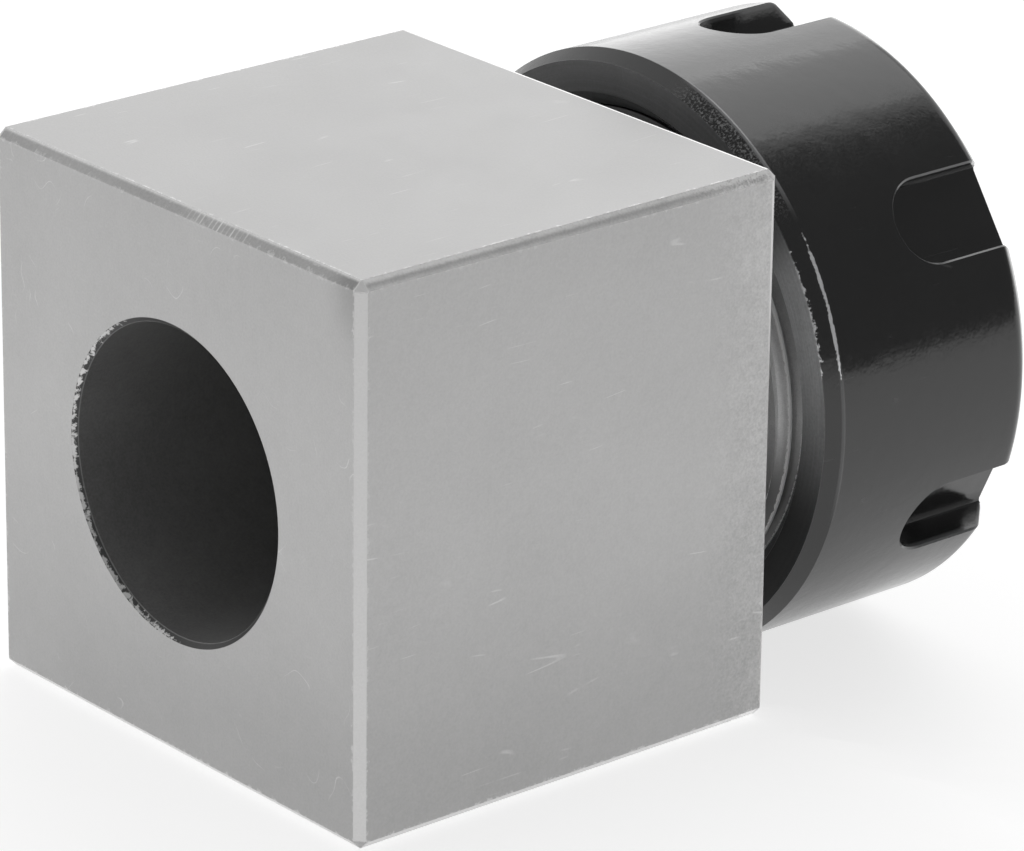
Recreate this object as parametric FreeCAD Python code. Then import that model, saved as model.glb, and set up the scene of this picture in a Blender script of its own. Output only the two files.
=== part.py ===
import FreeCAD, Part
import math
import os

# Square collet block: a square steel body with a threaded nose, a slotted clamping nut and the slit
# spring collet that the nut draws into the nose. All sizes are in millimetres.
#
# Every piece is drawn with its stations measured along the collet's axis, from the rear face of the
# block (0) towards the nut. At the end all pieces get one common move, which puts the origin at the
# centre of the block's bottom face, with +X along the axis towards the nut and +Z up.

# Square body
BLOCK_WIDTH = 45.0
BLOCK_LENGTH = 40.8
BLOCK_EDGE_CHAMFER = 0.7
REAR_BORE_RADIUS = 12.5
REAR_BORE_CHAMFER = 0.4
REAR_BORE_CLEARANCE = 1.0

# Collet, from its large taper end outwards and inwards
COLLET_BODY_RADIUS = 16.5
COLLET_LENGTH = 40.0
COLLET_TAPER_ANGLE = 8.0
COLLET_CONE_ANGLE = 30.0
COLLET_HEAD_LENGTH = 5.9
COLLET_COLLAR_WIDTH = 1.0
COLLET_COLLAR_STEP = 1.1
COLLET_GROOVE_WIDTH = 2.8
COLLET_GROOVE_DEPTH = 1.8
COLLET_BORE_RADIUS = 8.0
COLLET_BORE_CHAMFER = 0.5
COLLET_REAR_CHAMFER = 0.6
COLLET_RIM_CHAMFER = 0.3
COLLET_RECESS = 0.4
SLIT_COUNT = 8
SLIT_WIDTH = 1.0
SLIT_REAR_WALL = 5.0
SLIT_FRONT_WALL = 4.5

# Thread between nose and nut: the nose has the thread's root radius, its crest sizes the nut
NOSE_WALL = 2.6
THREAD_DEPTH = 0.9
THREAD_CLEARANCE = 0.09
NOSE_RELIEF_WIDTH = 2.0
NOSE_RELIEF_DEPTH = 0.5
NOSE_END_CHAMFER = 0.8
NOSE_MOUTH_CHAMFER = 0.5

# Clearances between the collet and the pieces round it
TAPER_CLEARANCE = 0.05
CONE_CLEARANCE = 0.08
COLLET_STAND_OUT = 0.1
RING_SIDE_CLEARANCE = 0.5
HEAD_CLEARANCE = 0.3

# Nut
NUT_LENGTH = 22.5
NUT_GAP = 4.1
NUT_WALL = 4.65
NUT_BACK_CHAMFER_LENGTH = 1.3
NUT_BACK_CHAMFER_DEPTH = 0.85
NUT_FRONT_CHAMFER = 2.0
NUT_FRONT_ROUNDING = 1.5
COUNTERSINK_STEP = 1.3
THREAD_RELIEF_WIDTH = 2.5
THREAD_RELIEF_STEP = 0.4
RING_REACH = 1.0
RING_OFFSET = 1.2
OPENING_FLARE = 1.0

# Spanner slots in the nut
SLOT_COUNT = 6
SLOT_WIDTH = 7.0
SLOT_LENGTH = 12.0
SLOT_FLOOR_WALL = 1.9
SLOT_START_ANGLE = 25.5

# Radii that follow from the sizes above
NOSE_RADIUS = COLLET_BODY_RADIUS + NOSE_WALL
THREAD_CREST_RADIUS = NOSE_RADIUS + THREAD_DEPTH
NUT_BORE_RADIUS = NOSE_RADIUS + THREAD_CLEARANCE
NUT_RADIUS = THREAD_CREST_RADIUS + NUT_WALL
COLLAR_RADIUS = COLLET_BODY_RADIUS - COLLET_COLLAR_STEP
GROOVE_RADIUS = COLLAR_RADIUS - COLLET_GROOVE_DEPTH
HEAD_CAVITY_RADIUS = COLLAR_RADIUS + HEAD_CLEARANCE
SLOT_FLOOR_RADIUS = THREAD_CREST_RADIUS + SLOT_FLOOR_WALL

# Stations along the axis that follow from the sizes above
NUT_BACK = BLOCK_LENGTH + NUT_GAP
NUT_FRONT = NUT_BACK + NUT_LENGTH
COLLET_FRONT = NUT_FRONT - COLLET_RECESS
COLLET_REAR = COLLET_FRONT - COLLET_LENGTH
GROOVE_FRONT = COLLET_FRONT - COLLET_HEAD_LENGTH
GROOVE_BACK = GROOVE_FRONT - COLLET_GROOVE_WIDTH
COLLAR_FRONT = GROOVE_FRONT + COLLET_COLLAR_WIDTH
NOSE_END = GROOVE_BACK - COLLET_STAND_OUT
RING_BACK = GROOVE_BACK + RING_SIDE_CLEARANCE
RING_FRONT = GROOVE_FRONT - RING_SIDE_CLEARANCE
REAR_BORE_END = COLLET_REAR - REAR_BORE_CLEARANCE

# Slopes of the two cones, as radius gained per unit of length
TAPER_SLOPE = math.tan(math.radians(COLLET_TAPER_ANGLE))
CONE_SLOPE = math.tan(math.radians(COLLET_CONE_ANGLE))
TAPER_RADIAL_GAP = TAPER_CLEARANCE / math.cos(math.radians(COLLET_TAPER_ANGLE))
CONE_RADIAL_GAP = CONE_CLEARANCE / math.cos(math.radians(COLLET_CONE_ANGLE))

# Tools that cut right through stop this far past the metal
OVERCUT = 1.0

ORIGIN = FreeCAD.Vector(0, 0, 0)
AXIS = FreeCAD.Vector(1, 0, 0)


def taper_radius(station):
    """Radius of the collet's long taper at a station."""
    return COLLET_BODY_RADIUS - (GROOVE_BACK - station) * TAPER_SLOPE


def cone_radius(station):
    """Radius of the collet's front cone at a station."""
    return COLLAR_RADIUS - (station - COLLAR_FRONT) * CONE_SLOPE


def seat_radius(station):
    """Radius of the nut's conical seat, which runs parallel to the collet's front cone."""
    return cone_radius(station) + CONE_RADIAL_GAP


def seat_station(radius):
    """Station at which the nut's conical seat has the given radius."""
    return COLLAR_FRONT - (radius - COLLAR_RADIUS - CONE_RADIAL_GAP) / CONE_SLOPE


def corner_arc(before, corner, after, radius):
    """Start, middle and end of the arc that rounds one corner of a profile."""
    to_before = (before - corner).normalize()
    to_after = (after - corner).normalize()
    half_angle = to_before.getAngle(to_after) / 2
    tangent_length = radius / math.tan(half_angle)
    middle_distance = radius / math.sin(half_angle) - radius
    start = corner + to_before * tangent_length
    middle = corner + (to_before + to_after).normalize() * middle_distance
    end = corner + to_after * tangent_length
    return start, middle, end


def turned(corners):
    """Solid turned about the axis from (station, radius) corners; a third number rounds the corner."""
    points = [FreeCAD.Vector(corner[0], 0, corner[1]) for corner in corners]
    stretches = []
    for index, corner in enumerate(corners):
        stretch = (points[index], None, points[index])
        if len(corner) > 2:
            after = points[(index + 1) % len(points)]
            stretch = corner_arc(points[index - 1], points[index], after, corner[2])
        stretches.append(stretch)
    edges = []
    for index, (start, middle, end) in enumerate(stretches):
        if middle is not None:
            edges.append(Part.Arc(start, middle, end).toShape())
        next_start = stretches[(index + 1) % len(stretches)][0]
        edges.append(Part.LineSegment(end, next_start).toShape())
    face = Part.Face(Part.Wire(edges))
    return face.revolve(ORIGIN, AXIS, 360)


def square_body():
    """Square bar with all twelve edges chamfered."""
    half = BLOCK_WIDTH / 2
    bar = Part.makeBox(BLOCK_LENGTH, BLOCK_WIDTH, BLOCK_WIDTH, FreeCAD.Vector(0, -half, -half))
    return bar.makeChamfer(BLOCK_EDGE_CHAMFER, bar.Edges)


def nose():
    """Round nose on the front face, with a relief groove at its root and a chamfered end."""
    relief_radius = NOSE_RADIUS - NOSE_RELIEF_DEPTH
    relief_end = BLOCK_LENGTH + NOSE_RELIEF_WIDTH
    return turned([
        (BLOCK_LENGTH - OVERCUT, 0),
        (BLOCK_LENGTH - OVERCUT, relief_radius),
        (relief_end, relief_radius),
        (relief_end + NOSE_RELIEF_DEPTH, NOSE_RADIUS),
        (NOSE_END - NOSE_END_CHAMFER, NOSE_RADIUS),
        (NOSE_END, NOSE_RADIUS - NOSE_END_CHAMFER),
        (NOSE_END, 0),
    ])


def block_hollow():
    """Rear bore, the taper that squeezes the collet, and the chamfers at both mouths."""
    start_radius = taper_radius(REAR_BORE_END) + TAPER_RADIAL_GAP
    mouth_radius = taper_radius(NOSE_END) + TAPER_RADIAL_GAP
    chamfer_start = NOSE_END - NOSE_MOUTH_CHAMFER
    rim_radius = REAR_BORE_RADIUS + REAR_BORE_CHAMFER
    return turned([
        (-OVERCUT, 0),
        (-OVERCUT, rim_radius + OVERCUT),
        (REAR_BORE_CHAMFER, REAR_BORE_RADIUS),
        (REAR_BORE_END, REAR_BORE_RADIUS),
        (REAR_BORE_END, start_radius),
        (chamfer_start, taper_radius(chamfer_start) + TAPER_RADIAL_GAP),
        (NOSE_END, mouth_radius + NOSE_MOUTH_CHAMFER),
        (NOSE_END + OVERCUT, mouth_radius + NOSE_MOUTH_CHAMFER + OVERCUT),
        (NOSE_END + OVERCUT, 0),
    ])


def collet_block():
    """The block: square body and nose in one piece, bored through."""
    return square_body().fuse(nose()).removeSplitter().cut(block_hollow())


def collet_blank():
    """Collet before slitting: long taper, extraction groove, collar and front cone, with its bore."""
    rear_radius = taper_radius(COLLET_REAR)
    rim_start = GROOVE_BACK - COLLET_RIM_CHAMFER
    front_start = COLLET_FRONT - COLLET_RIM_CHAMFER
    outside = turned([
        (COLLET_REAR, 0),
        (COLLET_REAR, rear_radius - COLLET_REAR_CHAMFER),
        (COLLET_REAR + COLLET_REAR_CHAMFER, taper_radius(COLLET_REAR + COLLET_REAR_CHAMFER)),
        (rim_start, taper_radius(rim_start)),
        (GROOVE_BACK, taper_radius(rim_start) - COLLET_RIM_CHAMFER),
        (GROOVE_BACK, GROOVE_RADIUS),
        (GROOVE_FRONT, GROOVE_RADIUS),
        (GROOVE_FRONT, COLLAR_RADIUS),
        (COLLAR_FRONT, COLLAR_RADIUS),
        (front_start, cone_radius(front_start)),
        (COLLET_FRONT, cone_radius(front_start) - COLLET_RIM_CHAMFER),
        (COLLET_FRONT, 0),
    ])
    mouth_radius = COLLET_BORE_RADIUS + COLLET_BORE_CHAMFER
    bore = turned([
        (COLLET_REAR - OVERCUT, 0),
        (COLLET_REAR - OVERCUT, mouth_radius + OVERCUT),
        (COLLET_REAR + COLLET_BORE_CHAMFER, COLLET_BORE_RADIUS),
        (COLLET_FRONT - COLLET_BORE_CHAMFER, COLLET_BORE_RADIUS),
        (COLLET_FRONT + OVERCUT, mouth_radius + OVERCUT),
        (COLLET_FRONT + OVERCUT, 0),
    ])
    return outside.cut(bore)


def slit(start, end, angle):
    """One saw cut from the axis outwards, between two stations, turned to an angle about the axis."""
    reach = COLLET_BODY_RADIUS + OVERCUT
    corner = FreeCAD.Vector(start, -SLIT_WIDTH / 2, 0)
    cut = Part.makeBox(end - start, SLIT_WIDTH, reach, corner)
    cut.rotate(ORIGIN, AXIS, angle)
    return cut


def spring_collet():
    """Slit spring collet: half of the saw cuts come in from the front and half from the rear."""
    pitch = 360.0 / SLIT_COUNT
    cuts = []
    for index in range(SLIT_COUNT):
        angle = index * pitch
        cuts.append(slit(COLLET_REAR + SLIT_REAR_WALL, COLLET_FRONT + OVERCUT, angle))
        cuts.append(slit(COLLET_REAR - OVERCUT, COLLET_FRONT - SLIT_FRONT_WALL, angle + pitch / 2))
    return collet_blank().cut(cuts)


def nut_blank():
    """Outside of the nut: a plain round with a chamfered back edge and a larger front chamfer."""
    return turned([
        (NUT_BACK, 0),
        (NUT_BACK, NUT_RADIUS - NUT_BACK_CHAMFER_DEPTH),
        (NUT_BACK + NUT_BACK_CHAMFER_LENGTH, NUT_RADIUS),
        (NUT_FRONT - NUT_FRONT_CHAMFER, NUT_RADIUS, NUT_FRONT_ROUNDING),
        (NUT_FRONT, NUT_RADIUS - NUT_FRONT_CHAMFER),
        (NUT_FRONT, 0),
    ])


def nut_thread_bore():
    """Thread bore from the nut's back to its extraction ring, with countersink and relief groove."""
    relief_radius = THREAD_CREST_RADIUS + THREAD_RELIEF_STEP
    countersink_radius = THREAD_CREST_RADIUS + COUNTERSINK_STEP
    countersink_length = countersink_radius - NUT_BORE_RADIUS
    relief_back = RING_BACK - THREAD_RELIEF_WIDTH
    return turned([
        (NUT_BACK - OVERCUT, 0),
        (NUT_BACK - OVERCUT, countersink_radius + OVERCUT),
        (NUT_BACK + countersink_length, NUT_BORE_RADIUS),
        (relief_back, NUT_BORE_RADIUS),
        (relief_back, relief_radius),
        (RING_BACK, relief_radius),
        (RING_BACK, 0),
    ])


def nut_ring_hole():
    """Hole of the extraction ring, off centre so that one side reaches into the collet's groove."""
    near_radius = COLLAR_RADIUS - RING_REACH
    hole_radius = near_radius + RING_OFFSET
    hole_length = RING_FRONT - RING_BACK
    return Part.makeCylinder(hole_radius, hole_length, FreeCAD.Vector(RING_BACK, 0, RING_OFFSET), AXIS)


def nut_seat():
    """Cavity for the collet's head: room behind the ring, the conical seat and the flared opening."""
    throat = NUT_FRONT - OPENING_FLARE
    throat_radius = seat_radius(throat)
    return turned([
        (RING_FRONT, 0),
        (RING_FRONT, HEAD_CAVITY_RADIUS),
        (seat_station(HEAD_CAVITY_RADIUS), HEAD_CAVITY_RADIUS),
        (throat, throat_radius),
        (NUT_FRONT + OVERCUT, throat_radius + OPENING_FLARE + OVERCUT),
        (NUT_FRONT + OVERCUT, 0),
    ])


def spanner_slot(angle):
    """One spanner slot: straight walls, a flat floor, a half-round end, open to the nut's front."""
    depth = NUT_WALL + OVERCUT
    end_centre = NUT_FRONT - SLOT_LENGTH + SLOT_WIDTH / 2
    run = NUT_FRONT + OVERCUT - end_centre
    corner = FreeCAD.Vector(end_centre, -SLOT_WIDTH / 2, SLOT_FLOOR_RADIUS)
    straight = Part.makeBox(run, SLOT_WIDTH, depth, corner)
    floor_centre = FreeCAD.Vector(end_centre, 0, SLOT_FLOOR_RADIUS)
    rounded_end = Part.makeCylinder(SLOT_WIDTH / 2, depth, floor_centre)
    cutter = straight.fuse(rounded_end).removeSplitter()
    cutter.rotate(ORIGIN, AXIS, angle)
    return cutter


def clamping_nut():
    """The nut: turned outside, thread bore, extraction ring, seat and six spanner slots."""
    slots = []
    for index in range(SLOT_COUNT):
        slots.append(spanner_slot(SLOT_START_ANGLE - 90.0 + index * 360.0 / SLOT_COUNT))
    hollow = nut_blank().cut([nut_thread_bore(), nut_seat(), nut_ring_hole()])
    return hollow.cut(slots)


def save(name, shape):
    """Moves a finished piece from the axis to the part's own frame and writes its file."""
    placed = shape.copy()
    placed.translate(FreeCAD.Vector(-BLOCK_LENGTH / 2, 0, BLOCK_WIDTH / 2))
    placed.exportStep(os.path.join("parts", name + ".step"))
    print(name, placed.isValid(), len(placed.Solids), round(placed.Volume, 1))


os.makedirs("parts", exist_ok=True)
save("collet_block", collet_block())
save("spring_collet", spring_collet())
save("clamping_nut", clamping_nut())
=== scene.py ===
"""Square collet block: the ground block, its threaded nose, the slotted nut and the spring collet.

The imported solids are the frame. The block and the collet keep their solids and get their finish here.
The nose gets its thread, and the nut is modelled again with its thread, broken edges and slots.
Lengths are in millimetres until a mesh is written, which is in metres. Angles are in degrees about the
collet's axis, from +Y towards +Z.
"""

import logging
import math
from dataclasses import dataclass
from enum import Enum
from functools import reduce
from typing import Callable, Optional, Sequence, Union

import bmesh
import bpy
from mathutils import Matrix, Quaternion, Vector


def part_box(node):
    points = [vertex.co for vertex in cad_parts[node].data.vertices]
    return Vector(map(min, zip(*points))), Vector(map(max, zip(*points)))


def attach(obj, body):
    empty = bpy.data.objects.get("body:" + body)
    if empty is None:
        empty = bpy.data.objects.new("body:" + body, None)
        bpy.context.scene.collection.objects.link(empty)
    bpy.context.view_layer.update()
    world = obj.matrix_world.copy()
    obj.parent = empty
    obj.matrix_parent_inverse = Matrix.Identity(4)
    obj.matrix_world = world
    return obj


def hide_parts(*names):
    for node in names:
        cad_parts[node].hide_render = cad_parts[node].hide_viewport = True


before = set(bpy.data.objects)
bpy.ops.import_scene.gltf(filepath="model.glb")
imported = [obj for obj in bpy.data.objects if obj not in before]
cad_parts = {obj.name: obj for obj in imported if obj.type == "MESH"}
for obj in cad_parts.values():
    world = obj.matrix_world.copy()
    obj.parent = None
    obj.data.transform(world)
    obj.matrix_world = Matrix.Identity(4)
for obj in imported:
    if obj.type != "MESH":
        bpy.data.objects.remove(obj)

log = logging.getLogger("collet_block")

MM = 0.001
SMOOTH_LIMIT = math.radians(30)
MERGE_DISTANCE = 1e-6
FLAT_DISTANCE = 1e-7
SHORTEST_PATH = 1e-9
Colour = tuple[float, float, float, float]
Place = tuple[float, float, float]
Face = tuple[int, ...]
Ring = list[int]
Limit = Callable[[float, float], float]
Pair = tuple[float, float]                    # both ends of a soft border, or two settings of an effect
Band = tuple[float, float, float, float]      # where a mask starts, is full, is still full, and ends
Cloud = tuple[float, float, float]            # scale, detail and roughness of a noise
Wear = tuple[float, float, float]             # width, fineness and amount of edge wear
Value = Union["Number", bpy.types.NodeSocket, float, tuple, None]


def grey(level: float, warmth: float = 0.0) -> Colour:
    """A grey colour, warmer where warmth is above zero."""
    return (level * (1 + warmth), level, level * (1 - warmth), 1.0)


def place_object(name: str, data: bpy.types.ID) -> bpy.types.Object:
    """Adds an object to the scene.

    Args:
        name: the object's name.
        data: its mesh, lamp or camera.

    Returns:
        The object.
    """
    thing = bpy.data.objects.new(name, data)
    bpy.context.scene.collection.objects.link(thing)
    return thing


class Slot(Enum):
    """Material slots of the record."""

    GROUND = "ground_steel"
    BLACKENED = "blackened_steel"
    COLLET = "collet_steel"


# Mesh work

class Skin:
    """Collects rings of points and the faces between them, and writes them as one object."""

    def __init__(self, axis_height: float) -> None:
        """Starts an empty skin.

        Args:
            axis_height: height of the turning axis above the frame's origin.
        """
        self.axis_height = axis_height
        self.points: list[Vector] = []
        self.faces: list[Face] = []

    def put(self, station: float, across: float, up: float) -> int:
        """Adds a point from its station and its place in the plane across the axis, and numbers it."""
        self.points.append(Vector((station, across, self.axis_height + up)) * MM)
        return len(self.points) - 1

    def polar(self, station: float, radius: float, angle: float) -> int:
        """Adds a point at a radius and an angle about the axis, and numbers it."""
        turn = math.radians(angle)
        return self.put(station, radius * math.cos(turn), radius * math.sin(turn))

    def circle(self, station: float, radius: float, count: int, rise: float = 0.0) -> Ring:
        """Adds a full circle of points.

        Args:
            station: place along the axis.
            radius: radius of the circle.
            count: how many points it has.
            rise: height of its centre above the axis.

        Returns:
            The points' numbers, in order of angle.
        """
        turns = (math.tau * index / count for index in range(count))
        return [self.put(station, radius * math.cos(turn), radius * math.sin(turn) + rise) for turn in turns]

    def turn_of(self, number: int) -> float:
        """Angle of a point about the axis, in radians."""
        point = self.points[number]
        return math.atan2(point.z - self.axis_height * MM, point.y)

    def span(self, *rings: Ring, closed: bool = True) -> None:
        """Joins rows of equally many points with quads.

        Args:
            *rings: the rows, in order.
            closed: whether the last points of a row join its first ones.
        """
        for first, second in zip(rings, rings[1:]):
            count = len(first)
            for index in range(count if closed else count - 1):
                after = (index + 1) % count
                self.faces.append((first[index], first[after], second[after], second[index]))

    def zip(self, first: Ring, second: Ring) -> None:
        """Joins two closed rings of different counts with triangles, in step with their angles.

        Args:
            first: one ring, in order of angle.
            second: the other ring, in order of angle.
        """
        first_turns, second_turns = self._turns(first), self._turns(second)
        start = min(range(len(second)), key=lambda index: abs(second_turns[index] - first_turns[0]))
        second = second[start:] + second[:start]
        second_turns = self._turns(second)
        at_first, at_second = 0, 0
        while at_first < len(first) or at_second < len(second):
            here = first[at_first % len(first)]
            there = second[at_second % len(second)]
            next_first = first_turns[at_first + 1] if at_first < len(first) else math.inf
            next_second = second_turns[at_second + 1] if at_second < len(second) else math.inf
            if next_first <= next_second:
                at_first += 1
                self.faces.append((here, first[at_first % len(first)], there))
            else:
                at_second += 1
                self.faces.append((here, second[at_second % len(second)], there))

    def _turns(self, ring: Ring) -> list[float]:
        """Turns of a ring's points about the axis.

        Args:
            ring: the ring.

        Returns:
            Rising angles in radians, with the first point's again at the end.
        """
        angles: list[float] = []
        for number in ring:
            angle = self.turn_of(number)
            while angles and angle < angles[-1] - math.pi:
                angle += math.tau
            angles.append(angle)
        return angles + [angles[0] + math.tau]

    def write(self, name: str) -> bpy.types.Object:
        """Writes the skin as an object with smooth faces and sharp creases.

        Args:
            name: the object's name.

        Returns:
            The new object.
        """
        mesh = bpy.data.meshes.new(name)
        mesh.from_pydata([tuple(point) for point in self.points], [], self.faces)
        work = bmesh.new()
        work.from_mesh(mesh)
        bmesh.ops.remove_doubles(work, verts=work.verts, dist=MERGE_DISTANCE)
        bmesh.ops.dissolve_degenerate(work, edges=work.edges, dist=FLAT_DISTANCE)
        bmesh.ops.recalc_face_normals(work, faces=work.faces)
        for face in work.faces:
            face.smooth = True
        open_edges = sum(1 for edge in work.edges if len(edge.link_faces) != 2)
        work.to_mesh(mesh)
        work.free()
        mesh.set_sharp_from_angle(angle=SMOOTH_LIMIT)
        log.info("%s: %d faces, %d open edges", name, len(mesh.polygons), open_edges)
        return place_object(name, mesh)


# Node work

class Number:
    """A number that a node works out. Arithmetic with it places more nodes on the same sheet."""

    def __init__(self, sheet: "Sheet", socket: bpy.types.NodeSocket) -> None:
        """Stands for a socket of a sheet."""
        self.sheet = sheet
        self.socket = socket

    def __add__(self, other: Value) -> "Number":
        """Sum."""
        return self.sheet.math("ADD", self, other)

    def __sub__(self, other: Value) -> "Number":
        """Difference."""
        return self.sheet.math("SUBTRACT", self, other)

    def __rsub__(self, other: Value) -> "Number":
        """Difference from something else."""
        return self.sheet.math("SUBTRACT", other, self)

    def __mul__(self, other: Value) -> "Number":
        """Product, which for masks is where both are on."""
        return self.sheet.math("MULTIPLY", self, other)

    def __truediv__(self, other: Value) -> "Number":
        """Quotient."""
        return self.sheet.math("DIVIDE", self, other)

    def __abs__(self) -> "Number":
        """Size without its sign."""
        return self.sheet.math("ABSOLUTE", self)

    __radd__ = __add__
    __rmul__ = __mul__

    def fade(self, start: Value, end: Value) -> "Number":
        """Mask that rises smoothly from 0 at start to 1 at end, or falls where start is larger."""
        inputs = {"Value": self, "From Min": start, "From Max": end}
        return self.sheet.number("MapRange", inputs, interpolation_type="SMOOTHSTEP")

    def fade_to(self, place: float, reach: Pair) -> "Number":
        """Mask that rises up towards a place, over a stretch given by its distances from it."""
        return self.fade(place - reach[0], place - reach[1])

    def fade_down(self, place: float, reach: Pair) -> "Number":
        """Mask that rises down towards a place, over a stretch given by its distances from it."""
        return self.fade(place + reach[0], place + reach[1])

    def above(self, place: float, soft: float) -> "Number":
        """Mask that is on above a place, with a soft border on both sides of it."""
        return self.fade(place - soft, place + soft)

    def below(self, place: float, soft: float) -> "Number":
        """Mask that is on below a place, with a soft border on both sides of it."""
        return self.fade(place + soft, place - soft)

    def band(self, start: Value, full: Value, still: Value, end: Value) -> "Number":
        """Mask that rises from start to full and falls from still to end."""
        return self.fade(start, full) * self.fade(end, still)

    def mix(self, off: Value, on: Value) -> "Number":
        """Number that is one thing where this mask is off and another where it is on."""
        return self.sheet.number("Mix", {0: self, 2: off, 3: on}, data_type="FLOAT")

    def varied(self, amount: Value, base: Value = 1.0) -> "Number":
        """Base that follows this tone, which lies around a half, by some amount."""
        return self.sheet.math("MULTIPLY_ADD", self - 0.5, amount, base)

    def wrapped(self, half: float) -> "Number":
        """Angle wrapped into the range from minus a half to a half of a period."""
        return self.sheet.math("WRAP", self, half, -half)

    def sideways(self, angle: "Number") -> "Number":
        """Distance across at this radius and an angle."""
        return self * self.sheet.math("SINE", self.sheet.math("RADIANS", angle))


def painted(tone: Value, *coats: tuple[Number, Value]) -> Value:
    """Lays coats over a tone.

    Args:
        tone: the tone underneath.
        *coats: mask and tone of each coat, in the order in which they go on.

    Returns:
        The tone on top.
    """
    return reduce(lambda under, coat: coat[0].mix(under, coat[1]), coats, tone)


class Sheet:
    """Places and links the nodes of one material or node group."""

    def __init__(self, tree: bpy.types.NodeTree) -> None:
        """Starts on a node tree."""
        self.tree = tree

    def feed(self, socket: bpy.types.NodeSocket, value: Value) -> None:
        """Links a value into an input, or sets the input to a constant.

        Args:
            socket: the input.
            value: number, socket or constant; None leaves the input as it is.
        """
        source = value.socket if isinstance(value, Number) else value
        if isinstance(source, bpy.types.NodeSocket):
            self.tree.links.new(source, socket)
        elif source is not None:
            socket.default_value = source

    def add(self, kind: str, inputs: Optional[dict] = None, **settings: object) -> bpy.types.Node:
        """Adds a node.

        Args:
            kind: the node's type name without its ShaderNode prefix.
            inputs: values for its inputs, by name or number.
            **settings: properties of the node.

        Returns:
            The new node.
        """
        node = self.tree.nodes.new("ShaderNode" + kind)
        for name, setting in settings.items():
            setattr(node, name, setting)
        for name, value in (inputs or {}).items():
            self.feed(node.inputs[name], value)
        return node

    def number(self, kind: str, inputs: dict, **settings: object) -> Number:
        """Number that a new node gives out first."""
        return Number(self, self.add(kind, inputs, **settings).outputs[0])

    def numbers(self, kind: str, inputs: dict, **settings: object) -> list[Number]:
        """All the numbers that a new node gives out."""
        return [Number(self, output) for output in self.add(kind, inputs, **settings).outputs]

    def math(self, operation: str, *values: Value) -> Number:
        """Result of one arithmetic step."""
        return self.number("Math", dict(enumerate(values)), operation=operation)

    def least(self, *values: Value) -> Number:
        """Least of several numbers."""
        return reduce(lambda first, second: self.math("MINIMUM", first, second), values)

    def largest(self, *values: Value) -> Number:
        """Largest of several numbers."""
        return reduce(lambda first, second: self.math("MAXIMUM", first, second), values)

    def blend(self, factor: Value, first: Colour, second: Colour) -> bpy.types.NodeSocket:
        """Colour between two colours."""
        return self.add("Mix", {0: factor, 6: first, 7: second}, data_type="RGBA").outputs[2]

    def noise(self, vector: Value, scale: Value, detail: float = 2.0, rough: float = 0.5) -> Number:
        """Cloudy noise between 0 and 1."""
        inputs = {"Vector": vector, "Scale": scale, "Detail": detail, "Roughness": rough}
        return self.number("TexNoise", inputs)

    def stretch(self, vector: Value, scale: Place, turn: Place) -> Number:
        """Vector turned by degrees and then stretched along each axis."""
        inputs = {"Vector": vector, "Rotation": tuple(map(math.radians, turn)), "Scale": scale}
        return self.number("Mapping", inputs, vector_type="POINT")


class Paint(Sheet):
    """The sheet of one material."""

    def __init__(self, name: str) -> None:
        """Makes the material.

        Args:
            name: the material's name.
        """
        self.material = bpy.data.materials.new(name)
        self.material.use_nodes = True
        super().__init__(self.material.node_tree)
        self.shader = self.tree.nodes["Principled BSDF"]

    def set(self, **inputs: Value) -> None:
        """Feeds the shader's inputs, each named with an underscore where its name has a space."""
        for name, value in inputs.items():
            self.feed(self.shader.inputs[name.replace("_", " ")], value)


def new_group(name: str, inputs: dict[str, Optional[float]], outputs: Sequence[str],
              fill: Callable[..., Sequence[Number]]) -> bpy.types.NodeTree:
    """Makes a node group with named sockets.

    Args:
        name: the group's name.
        inputs: input names with their default values; a value of None makes a vector input.
        outputs: names of the outputs, all of them numbers.
        fill: function that takes the sheet and the inputs, and gives the outputs.

    Returns:
        The group's node tree.
    """
    tree = bpy.data.node_groups.new(name, "ShaderNodeTree")
    for label, default in inputs.items():
        kind = "NodeSocketVector" if default is None else "NodeSocketFloat"
        socket = tree.interface.new_socket(name=label, in_out="INPUT", socket_type=kind)
        if default is not None:
            socket.default_value = default
    for label in outputs:
        tree.interface.new_socket(name=label, in_out="OUTPUT", socket_type="NodeSocketFloat")
    sheet = Sheet(tree)
    given, result = tree.nodes.new("NodeGroupInput"), tree.nodes.new("NodeGroupOutput")
    values = fill(sheet, *(Number(sheet, given.outputs[label]) for label in inputs))
    for label, value in zip(outputs, values):
        sheet.feed(result.inputs[label], value)
    return tree


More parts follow.
